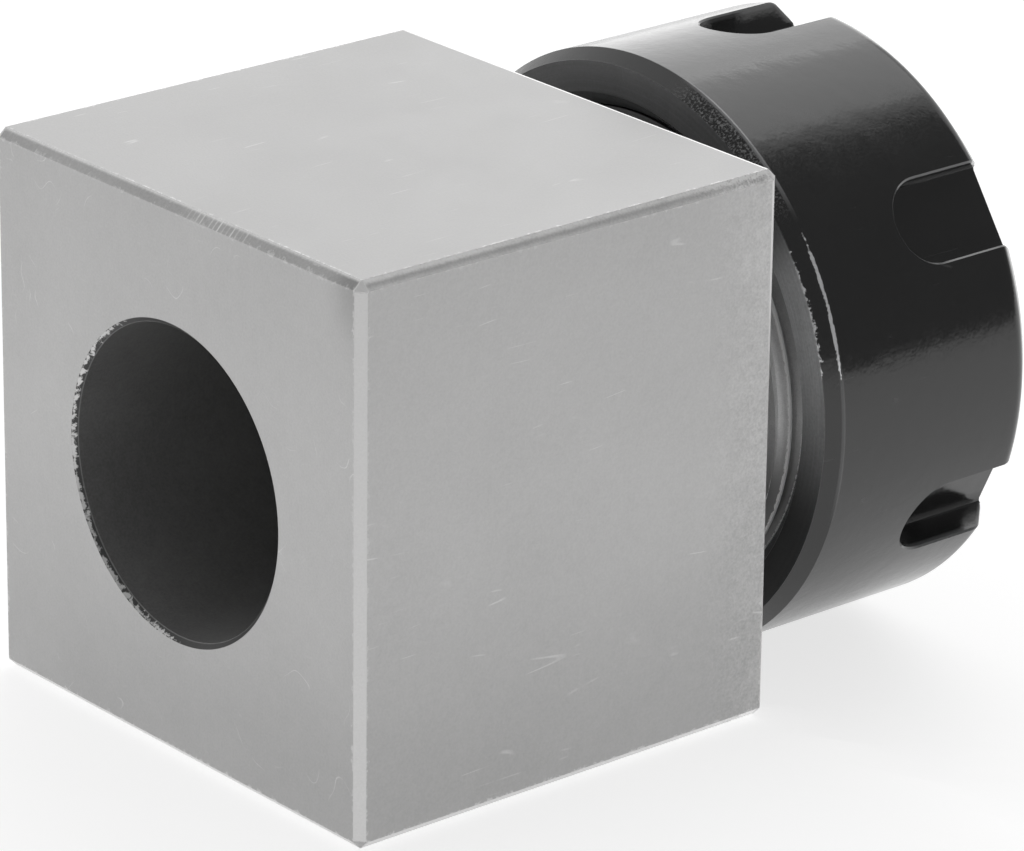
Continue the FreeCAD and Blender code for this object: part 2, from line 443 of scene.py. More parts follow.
class Effects:
    """Node groups that several finishes use, each made once. Their lengths are in millimetres."""

    GRAIN: tuple[Cloud, ...] = ((5.0, 1.0, 0.6), (1.1, 2.0, 0.6), (0.11, 2.0, 0.55))
    GRAIN_BASE = 0.15
    FINE_SHARE = 0.45
    MIDDLE_SHARE = 0.25
    CLOUD_SHARE = 0.3
    WEAR_NOISE: Pair = (3.0, 0.7)
    WEAR_SPREAD = 3.2
    WEAR_BORDER: Pair = (-0.15, 0.25)
    WEAR_END: Pair = (1.0, 0.8)
    SCRATCH_TURNS: tuple[Place, ...] = ((8.0, 25.0, 12.0), (40.0, -30.0, 70.0), (-25.0, 65.0, -40.0))
    SCRATCH_STRETCH: Place = (0.03, 0.35, 0.35)
    SCRATCH_PLACES: Place = (0.2, 0.2, 0.2)
    SCRATCH_WIDTH: Pair = (0.011, 0.003)
    SCRATCH_LIMIT = 0.75
    SCRATCH_GAIN = 0.3
    SCRATCH_SOFT = 0.1
    RING_DRIFT = 0.002
    RING_SCALE = 7.0
    RING_NOISE: Pair = (2.0, 0.7)

    def __init__(self, axis_height: float) -> None:
        """Makes the groups.

        Args:
            axis_height: height of the turning axis above the frame's origin.
        """
        self.turned_place = new_group(
            "turned_place", {"Place": None, "Axis Height": axis_height},
            ("Station", "Radius", "Angle", "Across", "Up"), self._turned_place)
        self.metal_grain = new_group(
            "metal_grain", {"Place": None, "Fineness": 1.0, "Mottle": 1.0},
            ("Tone", "Height"), self._metal_grain)
        self.edge_wear = new_group(
            "edge_wear", {"Place": None, "Distance": 0.0, "Width": 0.3, "Fineness": 1.0, "Amount": 0.5},
            ("Mask",), self._edge_wear)
        self.scratches = new_group(
            "scratches", {"Place": None, "Fineness": 1.0, "Amount": 0.5}, ("Mask",), self._scratches)
        self.turning_marks = new_group(
            "turning_marks", {"Station": 0.0, "Radius": 0.0, "Angle": 0.0, "Fineness": 1.0},
            ("Rings",), self._turning_marks)

    @staticmethod
    def _turned_place(sheet: Sheet, place: Number, axis_height: Number) -> tuple[Number, ...]:
        """Parts of a place about the turning axis.

        Args:
            sheet: the group's sheet.
            place: place in millimetres.
            axis_height: height of the axis.

        Returns:
            Station, radius, angle, and place across and up.
        """
        station, across, height = sheet.numbers("SeparateXYZ", {0: place})
        up = height - axis_height
        angle = sheet.math("DEGREES", sheet.math("ARCTAN2", up, across))
        return station, sheet.math("SQRT", up * up + across * across), angle, across, up

    @classmethod
    def _metal_grain(cls, sheet: Sheet, place: Number, fineness: Number,
                     mottle: Number) -> tuple[Number, ...]:
        """Fine pitting over soft clouds.

        Args:
            sheet: the group's sheet.
            place: place in millimetres.
            fineness: how fine the pitting is.
            mottle: how strong the clouds are.

        Returns:
            Tone around a half, and height, which follows the pitting.
        """
        fine, middle, clouds = (sheet.noise(place, fineness * scale, *kind) for scale, *kind in cls.GRAIN)
        pitting = fine * cls.FINE_SHARE + middle * cls.MIDDLE_SHARE + cls.GRAIN_BASE
        return clouds.varied(mottle * cls.CLOUD_SHARE, pitting), fine

    @classmethod
    def _edge_wear(cls, sheet: Sheet, place: Number, distance: Number, width: Number, fineness: Number,
                   amount: Number) -> tuple[Number]:
        """Ragged mask along an edge, full near it and broken up by noise further off.

        Args:
            sheet: the group's sheet.
            place: place in millimetres.
            distance: distance from the edge.
            width: how far the wear reaches.
            fineness: how fine its border is.
            amount: how much of it is worn.

        Returns:
            The mask.
        """
        near = abs(distance) / width
        level = sheet.noise(place, fineness, *cls.WEAR_NOISE).varied(cls.WEAR_SPREAD, amount - near)
        return (level.fade(*cls.WEAR_BORDER) * near.fade(*cls.WEAR_END),)

    @classmethod
    def _scratches(cls, sheet: Sheet, place: Number, fineness: Number, amount: Number) -> tuple[Number]:
        """Single hairlines in three directions, each kept in its own few places.

        Args:
            sheet: the group's sheet.
            place: place in millimetres.
            fineness: how fine they are.
            amount: how many are kept.

        Returns:
            The mask.
        """
        scaled = sheet.number("VectorMath", {0: place, "Scale": fineness}, operation="SCALE")
        limit = cls.SCRATCH_LIMIT - amount * cls.SCRATCH_GAIN
        lines = []
        for turn in cls.SCRATCH_TURNS:
            along = sheet.noise(sheet.stretch(scaled, cls.SCRATCH_STRETCH, turn), 1.0, 0.0)
            broken = sheet.noise(sheet.stretch(scaled, cls.SCRATCH_PLACES, turn), 1.0, 1.0)
            kept = broken.fade(limit, limit + cls.SCRATCH_SOFT)
            lines.append(abs(along - 0.5).fade(*cls.SCRATCH_WIDTH) * kept)
        return (sheet.largest(*lines),)

    @classmethod
    def _turning_marks(cls, sheet: Sheet, station: Number, radius: Number, angle: Number,
                       fineness: Number) -> tuple[Number]:
        """Rings left by the turning tool, which drift a little along the turn."""
        place = sheet.number("CombineXYZ", {0: station, 1: radius, 2: angle * cls.RING_DRIFT})
        return (sheet.noise(place, fineness * cls.RING_SCALE, *cls.RING_NOISE),)


class Finish(Paint):
    """The sheet of one metal finish, with the shaded point's place in millimetres and degrees."""

    def __init__(self, slot_name: str, effects: Effects) -> None:
        """Makes the material and finds the shaded point.

        Args:
            slot_name: the material's name.
            effects: the shared node groups.
        """
        super().__init__(slot_name)
        self.effects = effects
        inputs = {0: self.add("TexCoord").outputs["Object"], "Scale": 1 / MM}
        self.place = self.number("VectorMath", inputs, operation="SCALE")
        self.station, self.radius, self.angle, self.across, self.up = self.numbers(
            "Group", {"Place": self.place}, node_tree=effects.turned_place)

    def grain(self, fineness: float, mottle: float) -> list[Number]:
        """Tone and height of the metal's grain."""
        inputs = {"Place": self.place, "Fineness": fineness, "Mottle": mottle}
        return self.numbers("Group", inputs, node_tree=self.effects.metal_grain)

    def wear(self, distance: Number, wear: Wear, side: Value = 0.0) -> Number:
        """Ragged mask along an edge.

        Args:
            distance: distance from the edge.
            wear: how far it reaches, how fine its border is, and how much of it is worn.
            side: adds to how much is worn.

        Returns:
            The mask.
        """
        width, fineness, amount = wear
        inputs = {"Place": self.place, "Distance": distance, "Width": width, "Fineness": fineness,
                  "Amount": side + amount}
        return self.number("Group", inputs, node_tree=self.effects.edge_wear)

    def hairlines(self, fineness: float, amount: float) -> Number:
        """Mask of thin scratches."""
        inputs = {"Place": self.place, "Fineness": fineness, "Amount": amount}
        return self.number("Group", inputs, node_tree=self.effects.scratches)

    def rings(self, fineness: float = 1.0) -> Number:
        """Tone of the rings that the turning tool left."""
        inputs = {"Station": self.station, "Radius": self.radius, "Angle": self.angle, "Fineness": fineness}
        return self.number("Group", inputs, node_tree=self.effects.turning_marks)

    def complete(self, tone: Value, warmth: float, metal: Value, roughness: Value, height: Value,
                 relief: float) -> bpy.types.Material:
        """Feeds the shader.

        Args:
            tone: grey of the base colour.
            warmth: how warm the grey is.
            metal: share of bare metal.
            roughness: roughness.
            height: relief between 0 and 1.
            relief: real depth of a height of 1.

        Returns:
            The material.
        """
        bump = self.add("Bump", {"Height": height, "Strength": 1.0, "Distance": relief * MM})
        self.set(Base_Color=self.blend(tone, grey(0.0), grey(1.0, warmth)), Metallic=metal,
                 Roughness=roughness, Normal=bump.outputs["Normal"])
        return self.material


class BlockFinish(Finish):
    """The block's finish, with depths and masks that tell the parts of its surface from each other."""

    SOFT = 0.03
    NOSE_SOFT = 0.02
    MOUTH_SOFT = 0.5
    RIM_GAP = 0.01
    BORE_GAP = 0.05
    INSIDE_DEPTH: Pair = (0.02, 0.05)
    INSIDE_GAP = 0.045
    INSIDE_SOFT = 0.015

    def __init__(self, effects: Effects, block: "Block") -> None:
        """Makes the material and places the masks' nodes.

        Args:
            effects: the shared node groups.
            block: sizes of the block.
        """
        super().__init__(Slot.GROUND.value, effects)
        length, width, reach = block.half_length, block.half_width, block.edge_chamfer
        self.end = length - abs(self.station)
        side = width - abs(self.across)
        self.top = width - abs(self.up)
        self.depth_sum = self.end + side + self.top
        low, high = self.least(self.end, side), self.largest(self.end, side)
        self.edge = self.largest(low, self.least(high, self.top))
        self.nose = self.station.above(length, self.NOSE_SOFT)
        self.off_nose = 1.0 - self.nose
        self.chamfer = self.edge.below(reach, self.SOFT) * self.off_nose
        under_skin = self.least(low, self.top).fade(*self.INSIDE_DEPTH)
        self.inside = under_skin * self.edge.above(reach + self.INSIDE_GAP, self.INSIDE_SOFT)
        in_rim = self.radius.below(block.rim_radius + self.RIM_GAP, self.SOFT)
        self.mouth = in_rim * self.station.below(block.mouth_depth - length, self.MOUTH_SOFT)
        self.bore = self.largest(self.inside, self.mouth) * in_rim
        self.turned = self.largest(self.nose, self.inside * (1.0 - self.bore))
        self.on_rim = self.mouth * self.radius.above(block.bore_radius + self.BORE_GAP, self.SOFT)


@dataclass(frozen=True)
class GroundSteel:
    """Ground block: satin faces and chamfers, each with its own painted light and shade, painted highlights,
    a dark bore and a turned nose.

    The left and the right face are those that the photograph shows. Reaches and strips are distances
    from an edge, and the far line and the rim's worn side are given by depth and by angle.
    """

    warmth: float = 0.004
    grain: Pair = (1.0, 1.6)
    relief: float = 0.006
    roughness: float = 0.5
    rough_mottle: float = 0.3
    face_depth: Pair = (0.075, 0.025)
    # Painted light and shade: the top, left and right faces each get a tone of their own, and the top gets a
    # painted highlight towards the left.
    top_painted_light: float = 0.42
    top_left_highlight_gain: float = 0.12
    left_face_reach: Pair = (0.2, 0.05)
    left_painted_light: float = 0.53
    right_face_reach: Pair = (0.2, 0.0)
    right_painted_light: float = 0.535
    face_mottle: float = 0.55
    nut_end_mottle: float = 1.3
    nut_end_reach: Pair = (8.0, 1.0)
    # Painted shade: the faces grow darker towards the bottom.
    low_shade: float = 0.17
    low_shade_from: float = 2.0
    # Painted shade on the left face by the near top corner.
    corner_shade: float = 0.24
    corner_shade_reach: Pair = (4.5, 7.0)
    hairlines: Pair = (1.2, 0.35)
    hairline_gain: float = 0.13
    # Chamfer tones are painted light and shade, set chamfer by chamfer; the strips are painted highlights and
    # light that soften their borders.
    chamfer_painted_light: float = 0.68
    chamfer_mottle: float = 0.35
    chamfer_border: float = 0.06
    left_chamfer_shade: float = 0.47
    left_corner_shade_tone: float = 0.33
    left_corner_shade_reach: Pair = (4.5, 1.0)
    left_strip: Pair = (0.24, 0.02)
    right_chamfer_near_shade: float = 0.6
    right_chamfer_far_shade: float = 0.66
    right_strip: Pair = (0.42, 0.12)
    right_strip_highlight: float = 1.0
    right_foot: float = 0.3
    side_blend_painted_light: float = 0.84
    upper_mottle: float = 0.8
    upper_mottle_strip: Pair = (1.0, 0.7)
    far_mottle: float = 2.6
    far_mottle_reach: Pair = (10.0, 2.0)
    stroke_tone: float = 0.78
    stroke_pitch: float = 0.52
    stroke_scale: float = 1.3
    stroke_wave: Pair = (0.3, 0.95)
    stroke_strength: Pair = (0.35, 0.65)
    stroke_centre: float = -5.4
    stroke_reach: Pair = (4.5, 2.2)
    far_stroke_reach: Pair = (6.0, 2.0)
    edge_wear: Wear = (0.5, 1.6, 0.05)
    edge_wear_tone: float = 0.6
    # Painted highlight: a bright line on the upper faces just beyond the chamfers at the nut's end.
    far_edge_highlight: Band = (0.45, 0.6, 0.8, 0.92)
    far_edge_highlight_rise: Pair = (4.0, 18.0)
    far_edge_highlight_tone: float = 0.85
    # Painted highlight: the near top corner is painted almost white and made non-metal.
    corner_highlight_depths: Pair = (2.3, 2.03)
    corner_highlight_tone: float = 0.95
    nose_tone: float = 0.55
    nose_ring_contrast: float = 0.6
    nose_roughness: float = 0.32
    bore_tone: float = 0.23
    bore_mottle: float = 1.0
    bore_roughness: float = 0.42
    rim_tone: float = 0.05
    rim_wear: Wear = (0.34, 2.1, -0.66)
    rim_wear_tone: float = 0.66
    rim_wear_side: Band = (-105.0, -80.0, 45.0, 85.0)
    rim_wear_inset: float = 0.08

    def material(self, effects: Effects, block: "Block") -> bpy.types.Material:
        """Makes the finish for the block's solid.

        Args:
            effects: the shared node groups.
            block: sizes of the block.

        Returns:
            The material.
        """
        finish = BlockFinish(effects, block)
        grain, pits = finish.grain(*self.grain)
        rings = finish.rings()
        edge_wear = finish.wear(finish.edge - block.edge_chamfer, self.edge_wear) * finish.off_nose
        # Painted highlight: a bright line on the upper faces just beyond the chamfers at the nut's end.
        far_edge_highlight = (finish.end.band(*self.far_edge_highlight) * finish.station.fade(0.0, 1.0)
                    * finish.up.fade(*self.far_edge_highlight_rise) * finish.off_nose)
        # Painted highlight: the near top corner is painted almost white and made non-metal, so that it shows
        # as a bright point.
        outer, inner = (share * block.edge_chamfer for share in self.corner_highlight_depths)
        corner = finish.depth_sum.fade(outer, inner) * finish.off_nose
        rim_wear = finish.wear(finish.radius - (block.rim_radius - self.rim_wear_inset), self.rim_wear,
                               finish.angle.band(*self.rim_wear_side)) * finish.mouth
        dark = finish.bore * (1.0 - rim_wear)
        dark_tone = finish.on_rim.mix(self.bore_tone, self.rim_tone) * grain.varied(self.bore_mottle)
        tone = finish.chamfer.mix(self._face_tone(finish, block, grain),
                                 self._chamfer_tone(finish, block, grain))
        tone = painted(tone, (edge_wear, finish.largest(tone, self.edge_wear_tone)),
                       (far_edge_highlight, self.far_edge_highlight_tone), (corner, self.corner_highlight_tone),
                       (finish.turned, self.nose_tone * rings.varied(self.nose_ring_contrast)),
                       (rim_wear, self.rim_wear_tone), (dark, dark_tone))
        rough = painted(grain.varied(self.rough_mottle, self.roughness), (finish.turned, self.nose_roughness),
                        (dark, self.bore_roughness))
        height = finish.largest(finish.nose, finish.inside).mix(pits, rings)
        return finish.complete(tone, self.warmth, (1.0 - dark) * (1.0 - corner), rough, height, self.relief)

    def _face_tone(self, finish: BlockFinish, block: "Block", grain: Number) -> Number:
        """Tone of the flat faces: a painted light and shade tone for each face, a painted highlight towards
        the left of the top, and painted shade towards the bottom and by the near top corner.

        Args:
            finish: the block's finish.
            block: sizes of the block.
            grain: tone of the metal's grain.

        Returns:
            The tone.
        """
        station, across, up = finish.station, finish.across, finish.up
        length, width, reach = block.half_length, block.half_width, block.edge_chamfer
        depth, soft = self.face_depth
        on_right = across.fade_down(-width, self.right_face_reach)
        nut_end = station.fade_to(length, self.nut_end_reach) * on_right
        # Painted light and shade: a tone for each face, with a painted highlight on the top towards the left.
        side_painted_light = across.below(depth - width, soft).mix(self.left_painted_light, self.right_painted_light)
        left_highlight = (across - station).fade(0.0, length + width)
        top_painted_light = left_highlight * (self.top_left_highlight_gain * self.top_painted_light) + self.top_painted_light
        # Painted shade on the left face by the near top corner.
        shade_width, shade_height = self.corner_shade_reach
        corner_shade_mask = (across.fade(shade_width - width, reach - width) * finish.top.fade(shade_height, reach)
                     * station.fade_down(-length, self.left_face_reach) * up.fade(0.0, 1.0))
        # Painted shade: darker towards the bottom, and on the left face by the near top corner.
        tone = (up.above(width - depth, soft).mix(side_painted_light, top_painted_light)
                * grain.varied(nut_end.mix(self.face_mottle, self.nut_end_mottle))
                * (1.0 - up.fade(self.low_shade_from, -width) * self.low_shade)
                * (1.0 - corner_shade_mask * self.corner_shade))
        return tone + finish.hairlines(*self.hairlines) * self.hairline_gain

    def _chamfer_tone(self, finish: BlockFinish, block: "Block", grain: Number) -> Number:
        """Tone of the chamfers: painted light and shade of their own, painted shade along the two near top
        edges with painted highlights and light along their strips, and bright file strokes.

        Args:
            finish: the block's finish.
            block: sizes of the block.
            grain: tone of the metal's grain.

        Returns:
            The tone.
        """
        station, across, up = finish.station, finish.across, finish.up
        length, width, reach = block.half_length, block.half_width, block.edge_chamfer
        at_top = up.above(width - reach, self.chamfer_border)
        left = at_top * station.below(reach - length, self.chamfer_border)
        right = at_top * across.below(reach - width, self.chamfer_border)
        strokes = self._strokes(finish, across) * abs(across - self.stroke_centre).fade(*self.stroke_reach)
        far_strokes = self._strokes(finish, station) * station.fade_to(length, self.far_stroke_reach)
        # Painted shade on the left chamfer by the near corner.
        corner_shade_mask = across.fade_down(-width, self.left_corner_shade_reach)
        # Painted shade on the left chamfer, with painted light along its top strip.
        left_painted_light = painted(self.left_chamfer_shade, (corner_shade_mask, self.left_corner_shade_tone),
                            (strokes, self.stroke_tone),
                            (up.fade_to(width, self.left_strip), self.side_blend_painted_light))
        # Painted shade on the right chamfer, with a painted highlight along its top strip and painted light
        # at its foot.
        right_painted_light = painted(self.right_chamfer_near_shade,
                             (station.fade(-length, length), self.right_chamfer_far_shade),
                             (far_strokes, self.stroke_tone),
                             (up.fade_to(width, self.right_strip), self.right_strip_highlight),
                             (up.fade(width - reach + self.right_foot, width - reach), self.side_blend_painted_light))
        mottle = painted(self.chamfer_mottle,
                         (up.fade_to(width, self.upper_mottle_strip), self.upper_mottle),
                         (station.fade_to(length, self.far_mottle_reach), self.far_mottle))
        return painted(self.chamfer_painted_light, (left, left_painted_light), (right, right_painted_light)) * grain.varied(mottle)

    def _strokes(self, finish: Finish, along: Number) -> Number:
        """Straight file strokes across a chamfer, each with its own strength.

        Args:
            finish: the block's finish.
            along: place along the chamfer.

        Returns:
            The strokes' mask.
        """
        strength = finish.noise(finish.number("CombineXYZ", {0: along}), self.stroke_scale)
        wave = finish.math("SINE", along * (math.tau / self.stroke_pitch))
        return wave.fade(*self.stroke_wave) * strength.fade(*self.stroke_strength)


@dataclass(frozen=True)
class BlackenedSteel:
    """Black oxide finish of the nut, rubbed bright along its back edge and its slots, with painted light,
    shade and a highlight sector on its back face and painted light in its countersink cone.

    Sides and sectors are angles about the axis, and shares say how much of the bare metal shows.
    """

    warmth: float = -0.01
    grain: Pair = (0.8, 1.4)
    tone: float = 0.014
    mottle: float = 0.9
    roughness: float = 0.155
    rough_mottle: float = 0.3
    index: float = 1.62
    ring_height: float = 0.25
    pit_height: float = 0.4
    waves: Cloud = (0.5, 3.0, 0.55)
    waviness: float = 4.5
    relief: float = 0.006
    bare_tone: float = 0.9
    bare_metal: float = 0.5
    hairlines: Pair = (1.3, 0.3)
    hairline_share: float = 0.04
    skin_depth: float = 0.6
    # Painted light on the back face: lighter above, painted shade below, and a painted highlight sector; the
    # countersink cone is painted lighter than its shade.
    back_upper_painted_light: float = 0.135
    back_lower_painted_shade: float = 0.045
    back_painted_highlight: float = 0.6
    back_ring_contrast: float = 0.6
    back_reach: Pair = (0.12, 0.04)
    back_side: float = 160.0
    back_shade_sector: Band = (-20.0, 30.0, 120.0, 170.0)
    back_highlight_sector: Band = (-24.0, -10.0, -5.0, 42.0)
    back_roughness: float = 0.4
    cone_painted_light: float = 0.3
    cone_depth: float = 1.25
    edge_soft: float = 0.05
    worn_side: Band = (136.0, 150.0, 161.0, 177.0)
    outer_wear: Wear = (0.16, 2.2, -0.72)
    outer_wear_gain: float = 1.5
    inner_wear: Wear = (0.22, 2.4, -0.78)
    inner_wear_depth: float = 0.4
    specks: Cloud = (5.0, 3.0, 0.7)
    speck_range: Pair = (0.46, 0.66)
    speckled_side: Band = (100.0, 112.0, 128.0, 140.0)
    speckled_share: float = 0.3
    low_side: Pair = (160.0, 172.0)
    low_edge_share: float = 0.1
    edge_line: Pair = (0.22, 0.08)
    slot_wear: Wear = (0.14, 1.4, 1.3)
    slot_edge_gap: float = 0.04
    slot_edge_depth: Pair = (0.6, 0.3)
    slot_edge_reach: Pair = (5.0, 4.0)
    slot_edge_share: float = 0.13

    def material(self, effects: Effects, nut: "Nut") -> bpy.types.Material:
        """Makes the finish for the nut.

        Args:
            effects: the shared node groups.
            nut: sizes of the nut.

        Returns:
            The material.
        """
        finish = Finish(Slot.BLACKENED.value, effects)
        station, radius = finish.station, finish.radius
        grain, pits = finish.grain(*self.grain)
        rings = finish.rings()
        outside = radius.fade(nut.floor_radius - self.skin_depth, nut.floor_radius)
        hairlines = finish.hairlines(*self.hairlines) * outside * self.hairline_share
        back_edges = self._back_edges(finish, nut, outside)
        bare = finish.largest(*back_edges, self._slot_edge(finish, nut), hairlines)
        on_back = station.fade_down(nut.back, self.back_reach) * radius.below(nut.face_rim, self.edge_soft)
        on_cone = (station.below(nut.back + self.cone_depth, self.edge_soft)
                   * radius.fade(nut.countersink_radius, nut.countersink_radius - self.edge_soft))
        # Back face: painted light above, painted shade below, painted highlight sector; countersink cone
        # painted lighter than its shade.
        dark_tone = painted(self.tone, (on_back, self._back_painted_light(finish, rings)), (on_cone, self.cone_painted_light))
        tone = bare.mix(dark_tone * grain.varied(self.mottle), self.bare_tone)
        rough = on_back.mix(grain.varied(self.rough_mottle, self.roughness), self.back_roughness)
        waves = finish.noise(finish.place, *self.waves) * self.waviness
        height = rings * self.ring_height + pits * self.pit_height + waves
        finish.set(IOR=self.index)
        return finish.complete(tone, self.warmth, bare * self.bare_metal, rough, height, self.relief)

    def _back_painted_light(self, finish: Finish, rings: Number) -> Number:
        """Tone of the turned back face: painted light above, painted shade below, and a painted highlight
        sector such as turned faces show.

        Args:
            finish: the nut's finish.
            rings: tone of the turning tool's rings.

        Returns:
            The tone.
        """
        turn = (finish.angle - self.back_side).wrapped(180.0)
        tone = painted(self.back_upper_painted_light, (turn.band(*self.back_shade_sector), self.back_lower_painted_shade),
                       (turn.band(*self.back_highlight_sector), self.back_painted_highlight))
        return tone * rings.varied(self.back_ring_contrast)

    def _back_edges(self, finish: Finish, nut: "Nut", outside: Number) -> tuple[Number, ...]:
        """Masks of the bare metal round the back.

        Args:
            finish: the nut's finish.
            nut: sizes of the nut.
            outside: mask of the nut's outside.

        Returns:
            The worn outer and inner edge of the chamfer, its specks, and a fine line along its edge.
        """
        station, radius = finish.station, finish.radius
        end = nut.back + nut.back_chamfer_length
        worn_side = finish.angle.band(*self.worn_side)
        outer = finish.wear(station - (end - self.edge_soft), self.outer_wear,
                            worn_side * self.outer_wear_gain)
        inner = finish.wear(radius - nut.face_rim, self.inner_wear, worn_side)
        on_chamfer = station.below(end, self.edge_soft) * radius.above(nut.face_rim, self.edge_soft)
        speckled = finish.angle.band(*self.speckled_side) * self.speckled_share
        specks = finish.noise(finish.place, *self.specks).fade(*self.speck_range) * on_chamfer * speckled
        low_side = abs(finish.angle).fade(*self.low_side) * self.low_edge_share
        line = abs(station - end).fade(*self.edge_line) * outside * finish.largest(speckled, low_side)
        return outer * outside, inner * station.fade(end, nut.back + self.inner_wear_depth), specks, line

    def _slot_edge(self, finish: Finish, nut: "Nut") -> Number:
        """Mask of the thin rubbed line round each slot.

        Args:
            finish: the nut's finish.
            nut: sizes of the nut.

        Returns:
            The mask.
        """
        station, radius = finish.station, finish.radius
        aside = radius.sideways((finish.angle - nut.slot_start).wrapped(nut.sector / 2))
        behind = finish.least(station - nut.slot_centre, 0.0)
        reach = finish.math("SQRT", aside * aside + behind * behind)
        line = finish.wear(reach - (nut.slot_width / 2 + self.slot_edge_gap), self.slot_wear)
        skin_radius = finish.least(nut.radius, (nut.radius + nut.front - nut.front_chamfer) - station)
        return (line * (skin_radius - radius).fade(*self.slot_edge_depth)
                * station.fade_to(nut.slot_centre, self.slot_edge_reach) * self.slot_edge_share)


@dataclass(frozen=True)
class ColletSteel:
    """Fine ground spring steel with turning rings and dark slit walls."""

    warmth: float = 0.006
    grain: Pair = (1.6, 0.8)
    tone: float = 0.6
    mottle: float = 0.2
    ring_fineness: float = 0.6
    ring_contrast: float = 0.35
    hairlines: Pair = (2.0, 0.4)
    slit_wear: Wear = (0.12, 2.5, 0.5)
    wear_gain: float = 0.1
    slit_border: Pair = (0.02, 0.008)
    slit_tone: float = 0.2
    slit_roughness: float = 0.55
    roughness: float = 0.27
    rough_mottle: float = 0.25
    pit_height: float = 0.4
    relief: float = 0.004

    def material(self, effects: Effects, collet: "Collet") -> bpy.types.Material:
        """Makes the finish for the collet's solid.

        Args:
            effects: the shared node groups.
            collet: sizes of the collet.

        Returns:
            The material.
        """
        finish = Finish(Slot.COLLET.value, effects)
        grain, pits = finish.grain(*self.grain)
        rings = finish.rings(self.ring_fineness)
        half_pitch = 180.0 / collet.slit_count
        from_wall = abs(finish.radius.sideways(finish.angle.wrapped(half_pitch))) - collet.slit_width / 2
        slit = abs(from_wall).fade(*self.slit_border)
        cloudy = grain.varied(self.mottle)
        worn = finish.largest(finish.wear(from_wall, self.slit_wear), finish.hairlines(*self.hairlines))
        tone = self.tone * rings.varied(self.ring_contrast) * cloudy + worn * self.wear_gain
        tone = slit.mix(tone, self.slit_tone * cloudy)
        rough = slit.mix(grain.varied(self.rough_mottle, self.roughness), self.slit_roughness)
        return finish.complete(tone, self.warmth, 1.0, rough, rings + pits * self.pit_height, self.relief)


@dataclass(frozen=True)
class ThreadSteel:
    """Cut thread: grey flanks, polished crests brightened further as a painted highlight, and painted shade
    on the top and the lower side of the turns beside the block.
    """

    warmth: float = 0.0
    grain: Pair = (2.2, 0.6)
    flank_tone: float = 0.75
    mottle: float = 0.8
    crest_wear: Wear = (0.2, 2.0, 0.9)
    # Crests: polished metal, brightened further as a painted highlight.
    crest_polish_and_highlight_tone: float = 0.95
    first_turns: Pair = (27.5, 26.0)
    # Painted shade on the lower side of the turns beside the block.
    low_side: Band = (-182.0, -158.0, -140.0, -95.0)
    low_shade_tone: float = 0.25
    # Painted shade on top of the turns beside the block, where the nut shades them.
    top_shade_side: float = 90.0
    top_shade_reach: Pair = (46.0, 26.0)
    top_shade_tone: float = 0.05
    metal: float = 0.6
    crest_metal: float = 0.15
    roughness: float = 0.35
    rough_mottle: float = 0.3
    relief: float = 0.004

    def material(self, effects: Effects, thread: "Thread") -> bpy.types.Material:
        """Makes the finish for the thread on the nose.

        Args:
            effects: the shared node groups.
            thread: sizes of the thread.

        Returns:
            The material.
        """
        finish = Finish("thread_steel", effects)
        grain, pits = finish.grain(*self.grain)
        crest = finish.wear(thread.crest_radius - finish.radius, self.crest_wear)
        first_turns = finish.station.fade(*self.first_turns)
        # Painted shade on the lower side and on top of the turns beside the block.
        low_side = finish.angle.band(*self.low_side) * first_turns * (1.0 - crest)
        top_shade = abs(finish.angle - self.top_shade_side).fade(*self.top_shade_reach) * first_turns
        tone = painted(self.flank_tone * grain.varied(self.mottle), (crest, self.crest_polish_and_highlight_tone),
                       (low_side, self.low_shade_tone), (top_shade, self.top_shade_tone))
        rough = grain.varied(self.rough_mottle, self.roughness)
        return finish.complete(tone, self.warmth, crest.mix(self.metal, self.crest_metal), rough, pits,
                               self.relief)


# The pieces

